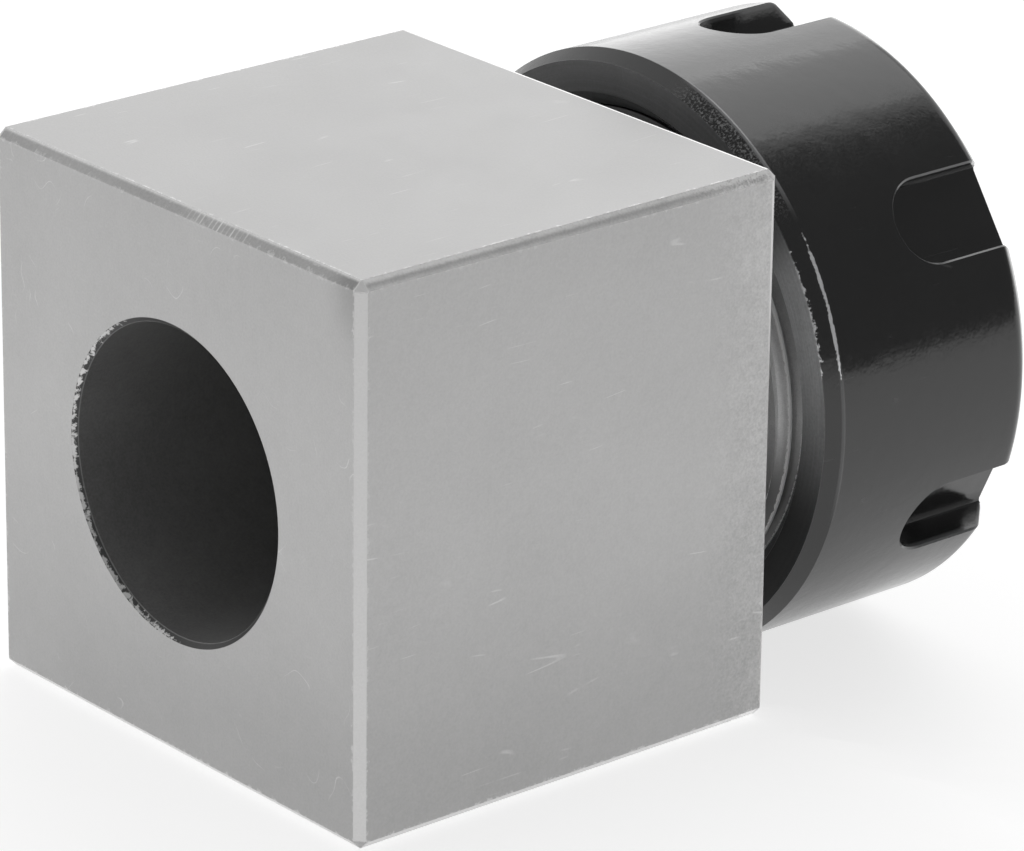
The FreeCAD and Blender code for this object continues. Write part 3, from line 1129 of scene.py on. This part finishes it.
@dataclass(frozen=True)
class Thread:
    """Metric thread shared by the nose and the nut.

    The helix passes every station as the angle grows, so both threads are cut from one function and
    stay in step while the nut turns.
    """

    pitch: float = 1.5
    root_radius: float = 19.115
    crest_radius: float = 19.97
    bore_radius: float = 19.19
    hollow_radius: float = 20.05
    flank_angle: float = 30.0
    flank_gap: float = 0.03
    half_crest: float = 1 / 16
    start: float = 23.05

    @property
    def flank_slope(self) -> float:
        """Share of a pitch that a flank takes for each unit of depth."""
        return math.tan(math.radians(self.flank_angle)) / self.pitch

    def ridge(self) -> list[tuple[float, float]]:
        """Profile of one turn outside.

        Returns:
            Share of the pitch and radius of each corner.
        """
        run = (self.crest_radius - self.root_radius) * self.flank_slope
        rise = 0.5 - self.half_crest
        return [(run - rise, self.root_radius), (rise - run, self.root_radius),
                (rise, self.crest_radius), (1 - rise, self.crest_radius)]

    def hollow(self) -> list[tuple[float, float]]:
        """Profile of one turn inside.

        Returns:
            Share of the pitch and radius of each corner.
        """
        gap = self.flank_gap / math.cos(math.radians(self.flank_angle)) / self.pitch
        rise = 0.5 - self.half_crest
        top = rise + (self.hollow_radius - self.crest_radius) * self.flank_slope - gap
        foot = rise - (self.crest_radius - self.bore_radius) * self.flank_slope - gap
        return [(-foot, self.bore_radius), (foot, self.bore_radius),
                (top, self.hollow_radius), (1 - top, self.hollow_radius)]

    def wind(self, skin: Skin, corners: Sequence[tuple[float, float]], first: float, last: float,
             count: int, limit: Limit) -> tuple[Ring, Ring]:
        """Winds one turn's corners round the axis between two stations.

        Args:
            skin: the skin that takes the faces.
            corners: one turn's corners.
            first: station where the thread starts.
            last: station where it ends.
            count: how many steps one turn takes.
            limit: gives the radius at a station from the thread's own radius there.

        Returns:
            The closed rings of points at both ends.
        """
        lowest = math.floor((first - self.start) / self.pitch) - 2
        highest = math.ceil((last - self.start) / self.pitch) + 1
        turns = [(number + share, radius) for number in range(lowest, highest) for share, radius in corners]
        columns = []
        for step in range(count):
            lead = step / count
            path = [(self.start + self.pitch * (share + lead), radius) for share, radius in turns]
            columns.append(self._column(skin, path, first, last, 360 * lead, limit))
        for here, there in zip(columns, columns[1:]):
            self._join(skin, here, there, 0)
        self._join(skin, columns[-1], columns[0], len(corners))
        return [column[0] for column in columns], [column[-1] for column in columns]

    def _column(self, skin: Skin, path: Sequence[tuple[float, float]], first: float, last: float,
                angle: float, limit: Limit) -> Ring:
        """Adds the thread's points at one angle, with those beyond an end gathered on it.

        Args:
            skin: the skin that takes the points.
            path: station and radius of each corner at this angle.
            first: station where the thread starts.
            last: station where it ends.
            angle: the angle.
            limit: gives the radius at a station from the thread's own radius there.

        Returns:
            The points' numbers.
        """
        ends = {}
        for end in (first, last):
            for (near, low), (far, high) in zip(path, path[1:]):
                if near <= end <= far:
                    ends[end] = low + (high - low) * (end - near) / max(far - near, SHORTEST_PATH)
        column = []
        for station, radius in path:
            held = min(max(station, first), last)
            own = radius if held == station else ends[held]
            column.append(skin.polar(held, limit(held, own), angle))
        return column

    def _join(self, skin: Skin, here: Ring, there: Ring, shift: int) -> None:
        """Joins two neighbouring columns, the second one shifted by some points."""
        shifted = [there[max(0, min(index + shift, len(there) - 1))] for index in range(len(here))]
        for index in range(len(here) - 1):
            skin.faces.append((here[index], here[index + 1], shifted[index + 1], shifted[index]))


@dataclass
class Block:
    """The square block with its nose. Its solid stays, and the nose gets its thread."""

    axis_height: float
    half_length: float
    half_width: float
    edge_chamfer: float = 0.7
    rim_radius: float = 12.9
    bore_radius: float = 12.5
    mouth_depth: float = 1.5
    thread_steps: int = 240
    thread_first: float = 22.85
    thread_last: float = 37.0
    sleeve_radius: float = 18.9
    lead_slope: float = 2.0

    def build_thread(self, thread: Thread) -> bpy.types.Object:
        """Models the thread as a sleeve whose inner side lies inside the nose.

        Args:
            thread: sizes of the thread.

        Returns:
            The thread's object.
        """
        skin = Skin(self.axis_height)
        first, last, steps = self.thread_first, self.thread_last, self.thread_steps

        def limit(station: float, radius: float) -> float:
            """Radius kept under the start and the end chamfer of the thread."""
            lead_in = thread.root_radius + (station - first) * self.lead_slope
            return min(radius, lead_in, thread.root_radius + (last - station))

        near, far = thread.wind(skin, thread.ridge(), first, last, steps, limit)
        inner_near = skin.circle(first, self.sleeve_radius, steps)
        inner_far = skin.circle(last, self.sleeve_radius, steps)
        skin.span(near, inner_near, inner_far, far)
        return skin.write("nose_thread")


@dataclass
class Collet:
    """The slit spring collet. Its solid stays."""

    slit_count: int = 16
    slit_width: float = 1.0


@dataclass(frozen=True)
class SlotRow:
    """One step of the way round a slot."""

    station: float
    along: float
    aside: float
    radius: float


@dataclass
class Nut:
    """The slotted nut, modelled again over its solid with its thread and broken slot edges."""

    axis_height: float
    back: float
    front: float
    radius: float
    back_chamfer_length: float = 1.3
    back_chamfer_depth: float = 0.85
    front_chamfer: float = 2.0
    front_angle: float = 45.0
    front_rounding: float = 1.5
    front_break: float = 0.2
    floor_radius: float = 21.9
    slot_count: int = 6
    slot_width: float = 7.0
    slot_length: float = 12.0
    slot_start: float = 25.5
    edge_break: float = 0.16
    floor_fillet: float = 0.3
    fillet_bend: float = 0.3
    countersink_radius: float = 21.3
    relief_radius: float = 20.4
    relief_back: float = 35.9
    ring_back: float = 38.4
    ring_front: float = 40.2
    ring_radius: float = 15.6
    ring_rise: float = 1.2
    head_radius: float = 15.7
    seat_angle: float = 30.0
    seat_gap: float = 0.0924
    collar_front: float = 41.7
    collar_radius: float = 15.4
    flare: float = 1.0
    straight_steps: int = 8
    bend_steps: int = 6
    sector_steps: int = 22
    end_steps: int = 48
    floor_strips: int = 6
    thread_steps: int = 240
    inner_steps: int = 180

    @property
    def sector(self) -> float:
        """Angle from one slot to the next."""
        return 360.0 / self.slot_count

    @property
    def face_rim(self) -> float:
        """Radius where the back face ends and its chamfer starts."""
        return self.radius - self.back_chamfer_depth

    @property
    def slot_centre(self) -> float:
        """Station of the centre of each slot's round end."""
        return self.front - self.slot_length + self.slot_width / 2

    @property
    def _corner(self) -> int:
        """Row of the slot's path that ends in the sector's back corner."""
        return len(self.outline()) + self.end_steps // 4 - 1

    def outline(self) -> list[tuple[float, float]]:
        """Outer profile from the slot's round end to the front.

        Returns:
            Station and radius of each point.
        """
        full_turn = math.radians(self.front_angle)
        bend = self.front - self.front_chamfer - self.front_rounding * math.tan(full_turn / 2)
        points = []
        for step in range(self.straight_steps):
            share = step / self.straight_steps
            points.append((self.slot_centre + (bend - self.slot_centre) * share, self.radius))
        for step in range(self.bend_steps + 1):
            turn = full_turn * step / self.bend_steps
            points.append((bend + self.front_rounding * math.sin(turn),
                           self.radius - self.front_rounding * (1 - math.cos(turn))))
        rim = self.radius - self.front_chamfer
        return points + [(self.front - self.front_break, rim + self.front_break),
                         (self.front, rim - self.front_break / 2)]

    def slot_path(self) -> list[SlotRow]:
        """Way round one slot, along one side, round its end and back along the other side.

        Returns:
            Its rows: station of the centre, direction of the wall along and across the slot, and radius
            of the nut's skin.
        """
        profile = self.outline()
        path = [SlotRow(station, 0.0, 1.0, radius) for station, radius in reversed(profile)]
        for step in range(1, self.end_steps):
            turn = math.pi * step / self.end_steps
            path.append(SlotRow(self.slot_centre, -math.sin(turn), math.cos(turn), self.radius))
        return path + [SlotRow(station, 0.0, -1.0, radius) for station, radius in profile]

    def build(self, thread: Thread) -> bpy.types.Object:
        """Models the whole nut as one closed skin.

        Args:
            thread: sizes of the thread.

        Returns:
            The nut's object.
        """
        skin = Skin(self.axis_height)
        front_rim: Ring = []
        back_rim: Ring = []
        for number in range(self.slot_count):
            front, back = self._build_slot(skin, self.slot_start + number * self.sector)
            front_rim += front
            back_rim += back
        head_ring = self._build_back(skin, thread, back_rim)
        self._build_front(skin, front_rim, head_ring)
        return skin.write("clamping_nut_body")

    def _slot_point(self, skin: Skin, middle: float, station: float, side: float, lift: float) -> int:
        """Adds a point from its station, its distance across the slot and its height over the axis."""
        cosine, sine = math.cos(math.radians(middle)), math.sin(math.radians(middle))
        return skin.put(station, lift * cosine - side * sine, lift * sine + side * cosine)

    def _build_slot(self, skin: Skin, middle: float) -> tuple[Ring, Ring]:
        """Models one slot and the surface round it, as wide as one sector.

        Args:
            skin: the skin that takes the faces.
            middle: angle of the slot's centre line.

        Returns:
            The points along the front face and those along the back of the round surface, both in
            order of rising angle.
        """
        path = self.slot_path()
        rows = [self._slot_row(skin, middle, row, end) for row, end in zip(path, self._sector_edge(path))]
        for here, there in zip(rows, rows[1:]):
            for index in range(len(here) - 1):
                skin.faces.append((here[index], here[index + 1], there[index + 1], there[index]))
        front = rows[-1][::-1] + self._build_floor(skin, middle, path, rows) + rows[0]
        back = [row[-1] for row in rows[self._corner:len(rows) - self._corner]]
        return front, back[::-1]

    def _slot_row(self, skin: Skin, middle: float, row: SlotRow, end: tuple[float, float]) -> Ring:
        """Adds one row of points: up the fillet and the wall, over the edge and to the sector's border.

        Args:
            skin: the skin that takes the points.
            middle: angle of the slot's centre line.
            row: the step of the slot's path.
            end: where the row meets the border: station, angle from the middle.

        Returns:
            The points' numbers.
        """
        half, fillet, floor = self.slot_width / 2, self.floor_fillet, self.floor_radius
        wall_top = math.sqrt((row.radius - self.edge_break) ** 2 - (row.aside * half) ** 2)
        bend = fillet * self.fillet_bend
        numbers = []
        for reach, lift in ((half - fillet, floor), (half - bend, floor + bend), (half, floor + fillet),
                            (half, wall_top)):
            station = row.station + row.along * reach
            numbers.append(self._slot_point(skin, middle, station, row.aside * reach, lift))
        broken = half + self.edge_break
        start = (row.station + row.along * broken, math.degrees(math.asin(row.aside * broken / row.radius)))
        for step in range(self.sector_steps + 1):
            share = step / self.sector_steps
            place, turn = (low + (high - low) * share for low, high in zip(start, end))
            numbers.append(skin.polar(place, row.radius, middle + turn))
        return numbers

    def _sector_edge(self, path: Sequence[SlotRow]) -> list[tuple[float, float]]:
        """Where each row of the slot's path meets the sector's border.

        Args:
            path: the way round the slot.

        Returns:
            Station and angle from the middle of the slot, for each row.
        """
        back = self.back + self.back_chamfer_length
        half = self.sector / 2
        corner, last = self._corner, len(path) - 1 - self._corner
        straight = len(self.outline())
        edge = []
        for number, row in enumerate(path):
            side = 1.0 if number <= len(path) // 2 else -1.0
            if corner < number < last:
                edge.append((back, half - self.sector * (number - corner) / (last - corner)))
            elif number < straight or number >= len(path) - straight:
                edge.append((row.station, side * half))
            else:
                from_corner = number - straight + 1 if side > 0 else len(path) - straight - number
                share = from_corner / (corner - straight + 1)
                edge.append((self.slot_centre + (back - self.slot_centre) * share, side * half))
        return edge

    def _build_floor(self, skin: Skin, middle: float, path: Sequence[SlotRow], rows: Sequence[Ring]) -> Ring:
        """Fills the slot's flat floor with strips from wall to wall.

        Args:
            skin: the skin that takes the faces.
            middle: angle of the slot's centre line.
            path: the way round the slot.
            rows: the points of each row of the path, the wall's foot first.

        Returns:
            The floor's points between its corners on the front face, in order of rising angle.
        """
        strips = self.floor_strips
        half = self.slot_width / 2 - self.floor_fillet
        total = len(rows)
        lines: list[Ring] = []
        for number in range(total // 2):
            row = path[number]
            line = [rows[number][0]]
            for step in range(1, strips):
                side = row.aside * half * (1 - 2 * step / strips)
                station = row.station + row.along * half
                line.append(self._slot_point(skin, middle, station, side, self.floor_radius))
            lines.append(line + [rows[total - 1 - number][0]])
        skin.span(*lines, closed=False)
        tip = rows[total // 2][0]
        for index in range(strips):
            skin.faces.append((lines[-1][index], lines[-1][index + 1], tip))
        return lines[0][-2:0:-1]

    def _build_back(self, skin: Skin, thread: Thread, back_rim: Ring) -> Ring:
        """Models the back: chamfer, flat face, countersink, thread, relief and ring face.

        Args:
            skin: the skin that takes the faces.
            thread: sizes of the thread.
            back_rim: points where the back chamfer starts.

        Returns:
            The points round the back of the cavity for the collet's head.
        """
        chamfer = [skin.polar(self.back, self.face_rim, math.degrees(skin.turn_of(number)))
                   for number in back_rim]
        skin.span(back_rim, chamfer)
        mouth = skin.circle(self.back, self.countersink_radius, self.thread_steps)
        skin.zip(chamfer, mouth)

        def limit(station: float, radius: float) -> float:
            """Radius kept outside the countersink."""
            return max(radius, self.countersink_radius - (station - self.back))

        near, far = thread.wind(skin, thread.hollow(), self.back, self.relief_back, self.thread_steps, limit)
        relief_near = skin.circle(self.relief_back, self.relief_radius, self.thread_steps)
        relief_far = skin.circle(self.ring_back, self.relief_radius, self.thread_steps)
        skin.span(mouth, near)
        skin.span(far, relief_near, relief_far)
        hole_near = skin.circle(self.ring_back, self.ring_radius, self.inner_steps, self.ring_rise)
        hole_far = skin.circle(self.ring_front, self.ring_radius, self.inner_steps, self.ring_rise)
        skin.zip(relief_far, hole_near)
        skin.span(hole_near, hole_far)
        head = skin.circle(self.ring_front, self.head_radius, self.inner_steps)
        skin.zip(hole_far, head)
        return head

    def _build_front(self, skin: Skin, front_rim: Ring, head_ring: Ring) -> None:
        """Models the inside of the front: head cavity, conical seat, flared opening and flat face.

        Args:
            skin: the skin that takes the faces.
            front_rim: points round the front face's outer edge.
            head_ring: points round the back of the cavity for the collet's head.
        """
        slope = math.tan(math.radians(self.seat_angle))
        seat_start = self.collar_front - (self.head_radius - self.collar_radius - self.seat_gap) / slope
        throat = self.front - self.flare
        throat_radius = self.head_radius - (throat - seat_start) * slope
        profile = ((seat_start, self.head_radius), (throat, throat_radius),
                   (self.front, throat_radius + self.flare))
        rings = [skin.circle(station, radius, self.inner_steps) for station, radius in profile]
        skin.span(head_ring, *rings)
        skin.zip(front_rim, rings[-1])


# The studio

def stage(name: str, points: Sequence[Place], faces: Sequence[Face]) -> bpy.types.Object:
    """Adds a smooth mesh that belongs to the studio and not to the object.

    Args:
        name: the mesh's name.
        points: its points, in metres.
        faces: its faces.

    Returns:
        The mesh's object.
    """
    mesh = bpy.data.meshes.new(name)
    mesh.from_pydata(points, [], faces)
    for polygon in mesh.polygons:
        polygon.use_smooth = True
    thing = place_object(name, mesh)
    return thing


def disc(name: str, rings: int, steps: int, place: Callable[[float, float], Vector]) -> bpy.types.Object:
    """Adds a round sheet to the studio.

    Args:
        name: the sheet's name.
        rings: how many rings of points lie round its centre point.
        steps: how many points a ring has.
        place: gives a point's place from its share of the way out and its angle.

    Returns:
        The sheet's object.
    """
    points = [place(0.0, 0.0)]
    faces: list[Face] = [(0, 1 + step, 1 + (step + 1) % steps) for step in range(steps)]
    for ring in range(rings):
        near, far = 1 + (ring - 1) * steps, 1 + ring * steps
        for step in range(steps):
            points.append(place((ring + 1) / rings, math.tau * step / steps))
            if ring:
                after = (step + 1) % steps
                faces.append((near + step, far + step, far + after, near + after))
    return stage(name, points, faces)


@dataclass(frozen=True)
class Floor:
    """Round pale floor with a shallow step, so that the nut hangs over it as it does over a bench."""

    reach: float = 620.0
    level: float = -0.03
    drop: float = 2.6
    step_from: float = 21.0
    step_to: float = 25.0
    spread: float = 2.2
    rings: int = 40
    steps: int = 96
    shade: float = 0.9
    seen_shade: float = 0.5
    roughness: float = 0.9
    gloss: float = 0.1
    glow: float = 0.72

    def build(self) -> None:
        """Models the floor and gives it a finish that glows where the camera or a reflection sees it."""
        floor = disc("floor", self.rings, self.steps, self._place)
        paint = Paint("pale_floor")
        rays = paint.add("LightPath").outputs
        seen = paint.largest(rays["Is Camera Ray"], rays["Is Glossy Ray"])
        paint.set(Base_Color=paint.blend(seen, grey(self.shade), grey(self.seen_shade)),
                  Roughness=self.roughness, Specular_IOR_Level=self.gloss, Emission_Color=grey(1.0),
                  Emission_Strength=seen * self.glow)
        floor.data.materials.append(paint.material)

    def _place(self, share: float, turn: float) -> Vector:
        """Place of a point of the floor.

        Args:
            share: share of the way out, which the rings take in growing steps.
            turn: its angle in radians.

        Returns:
            The place in metres.
        """
        reach = self.reach * share ** self.spread
        x, y = reach * math.cos(turn), reach * math.sin(turn)
        past = min(max((x - self.step_from) / (self.step_to - self.step_from), 0.0), 1.0)
        return Vector((x, y, self.level - self.drop * past * past * (3 - 2 * past))) * MM


@dataclass(frozen=True)
class DarkCards:
    """The dark things that the nut mirrors: a flag on the right, and a dome above the camera."""

    cloth_tone: float = 0.012
    flag_glow: float = 0.2
    flag_radius: float = 700.0
    flag_from: float = -64.0
    flag_sweep: float = 58.0
    flag_low: float = -30.0
    flag_height: float = 900.0
    flag_columns: int = 12
    dome_glow: float = 0.25
    dome_radius: float = 0.9
    dome_half_angle: float = 50.0
    dome_side: Place = (-0.5, -0.42, 0.757)
    dome_rings: int = 8
    dome_steps: int = 48

    def build(self) -> None:
        """Models both cards."""
        self._flag()
        self._dome()

    def _flag(self) -> None:
        """Flag beyond the floor on the right, which the nut's flank mirrors."""
        points = []
        for column in range(self.flag_columns + 1):
            turn = math.radians(self.flag_from + self.flag_sweep * column / self.flag_columns)
            x, y = self.flag_radius * math.cos(turn), self.flag_radius * math.sin(turn)
            for height in (self.flag_low, self.flag_low + self.flag_height):
                points.append((x * MM, y * MM, height * MM))
        faces = [(base, base + 2, base + 3, base + 1) for base in range(0, 2 * self.flag_columns, 2)]
        self._darken(stage("flag", points, faces), self.flag_glow)

    def _dome(self) -> None:
        """Dome behind and above the camera, which the nut's back chamfer mirrors."""
        turn = Vector(self.dome_side).to_track_quat("Z", "Y")

        def place(share: float, side: float) -> Vector:
            """Place of a point of the dome.

            Args:
                share: share of the way out.
                side: its angle in radians.

            Returns:
                The place in metres.
            """
            tilt = math.radians(self.dome_half_angle) * share
            across, up = math.sin(tilt) * math.cos(side), math.sin(tilt) * math.sin(side)
            return turn @ Vector((across, up, math.cos(tilt))) * self.dome_radius

        self._darken(disc("dark_side", self.dome_rings, self.dome_steps, place), self.dome_glow)

    def _darken(self, card: bpy.types.Object, glow: float) -> None:
        """Gives a card a dim grey cloth that the camera doesn't see.

        Args:
            card: the card.
            glow: how bright the cloth is.
        """
        card.visible_camera = False
        paint = Paint(card.name + "_cloth")
        paint.set(Base_Color=grey(self.cloth_tone), Emission_Color=grey(1.0), Emission_Strength=glow,
                  Roughness=1.0, Specular_IOR_Level=0.0)
        card.data.materials.append(paint.material)


@dataclass(frozen=True)
class Lamp:
    """A soft rectangular lamp, its power in watts."""

    name: str
    place: Place
    aim: Place
    size: tuple[float, float]
    power: float

    def build(self) -> None:
        """Adds the lamp, which the camera doesn't see."""
        lamp = bpy.data.lights.new(self.name, "AREA")
        lamp.shape = "RECTANGLE"
        lamp.size, lamp.size_y = self.size[0] * MM, self.size[1] * MM
        lamp.energy = self.power
        holder = place_object(self.name, lamp)
        holder.location = Vector(self.place) * MM
        holder.rotation_euler = (Vector(self.aim) - Vector(self.place)).to_track_quat("-Z", "Y").to_euler()
        holder.visible_camera = False


@dataclass(frozen=True)
class Camera:
    """The camera, where the photograph was taken from."""

    lens: float = 217.352
    sensor_width: float = 36.0
    nearest: float = 0.01
    farthest: float = 50.0
    azimuth: float = -40.324
    elevation: float = 21.461
    roll: float = 0.703
    distance: float = 486.933
    target: Place = (12.416, -0.808, 19.478)

    def build(self) -> None:
        """Adds the camera and makes it the scene's own."""
        camera = bpy.data.cameras.new("camera")
        camera.lens = self.lens
        camera.sensor_width = self.sensor_width
        camera.sensor_fit = "HORIZONTAL"
        camera.clip_start, camera.clip_end = self.nearest, self.farthest
        holder = place_object("camera", camera)
        side, lift = math.radians(self.azimuth), math.radians(self.elevation)
        back = Vector((math.sin(side) * math.cos(lift), -math.cos(side) * math.cos(lift), math.sin(lift)))
        holder.location = (Vector(self.target) + back * self.distance) * MM
        holder.rotation_mode = "QUATERNION"
        turn = Quaternion((0, 0, 1), math.radians(self.roll))
        holder.rotation_quaternion = (-back).to_track_quat("-Z", "Y") @ turn
        bpy.context.scene.camera = holder


@dataclass(frozen=True)
class Studio:
    """Pale floor, soft light from above and behind, dark cards, and the camera."""

    world_light: float = 0.8
    top_lamp: Lamp = Lamp("top_lamp", (430.0, 240.0, 700.0), (10.0, 0.0, 20.0), (560.0, 560.0), 0.8)
    back_lamp: Lamp = Lamp("back_lamp", (660.0, 640.0, 330.0), (50.0, 0.0, 330.0), (440.0, 800.0), 1.25)

    def build(self) -> None:
        """Sets up the camera, the surroundings, the floor, the cards and the lamps."""
        Camera().build()
        self._surroundings()
        for part in (Floor(), DarkCards(), self.top_lamp, self.back_lamp):
            part.build()
        bpy.context.scene.view_settings.view_transform = "Standard"

    def _surroundings(self) -> None:
        """White surroundings for the camera, a little less as light and in reflections."""
        world = bpy.data.worlds.new("studio")
        bpy.context.scene.world = world
        world.use_nodes = True
        sheet = Sheet(world.node_tree)
        seen = Number(sheet, sheet.add("LightPath").outputs["Is Camera Ray"])
        shade = world.node_tree.nodes["Background"]
        shade.inputs["Color"].default_value = grey(1.0)
        sheet.feed(shade.inputs["Strength"], seen.mix(self.world_light, 1.0))


def dress(node: str, material: bpy.types.Material) -> None:
    """Gives a solid of the frame its finish.

    Args:
        node: the solid's name.
        material: the finish.
    """
    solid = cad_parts[node]
    solid.data.materials.clear()
    solid.data.materials.append(material)
    log.info("%s: solid kept, finish %s", node, material.name)


def main() -> None:
    """Builds the studio and the pieces."""
    logging.basicConfig(level=logging.INFO, format="%(name)s: %(message)s")
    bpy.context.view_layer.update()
    low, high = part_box("collet_block")
    nut_low, nut_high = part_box("clamping_nut")
    axis_height = (low[2] + high[2]) / 2 / MM
    block = Block(axis_height, half_length=-low[0] / MM, half_width=high[1] / MM)
    nut = Nut(axis_height, back=nut_low[0] / MM, front=nut_high[0] / MM, radius=nut_high[1] / MM)
    thread = Thread()
    effects = Effects(axis_height)
    Studio().build()

    dress("collet_block", GroundSteel().material(effects, block))
    dress("spring_collet", ColletSteel().material(effects, Collet()))

    nose_thread = block.build_thread(thread)
    nose_thread.data.materials.append(ThreadSteel().material(effects, thread))
    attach(nose_thread, "block")

    body = nut.build(thread)
    body.data.materials.append(BlackenedSteel().material(effects, nut))
    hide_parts("clamping_nut")
    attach(body, "nut")


if __name__ == "__main__":
    main()
